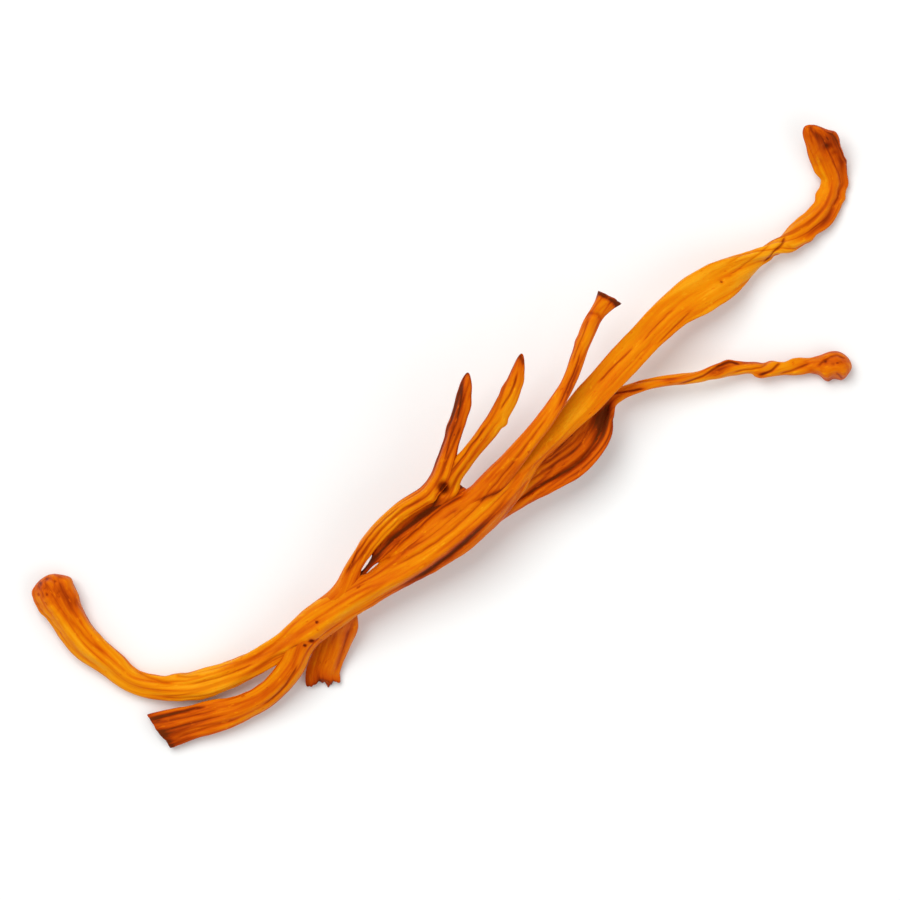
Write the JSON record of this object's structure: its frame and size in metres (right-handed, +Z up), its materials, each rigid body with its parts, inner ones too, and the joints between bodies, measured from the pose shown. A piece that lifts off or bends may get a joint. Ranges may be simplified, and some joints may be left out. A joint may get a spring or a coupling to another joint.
{
  "type": "dried cordyceps",
  "caption": "Forking cluster of dried cordyceps fruiting bodies: flattened, twisted orange strands joined at the base, lying as they dried.",
  "frame": {"origin": "middle of the bounding box, at the surface that the cluster lies on", "axes": "+Z up from that surface; +X from the rounded tip of the pale branch towards the knob and the curled blade"},
  "size_m": [0.0572, 0.0436, 0.0082],
  "materials": {
    "deep_orange_skin": "dried fungus skin, deep orange, slightly glossy",
    "pale_orange_skin": "dried fungus skin, pale yellowish orange, slightly glossy",
    "red_orange_skin": "dried fungus skin, red-orange to brown, slightly glossy"
  },
  "bodies": {
    "root": {"fused_trunk": "deep_orange_skin", "long_blade": "deep_orange_skin", "cut_shoot": "deep_orange_skin", "knobby_shoot": "deep_orange_skin", "left_prong": "deep_orange_skin", "right_prong": "deep_orange_skin", "round_tipped_branch": "pale_orange_skin", "lower_branch": "red_orange_skin", "ragged_stub": "red_orange_skin"}
  },
  "joints": []
}
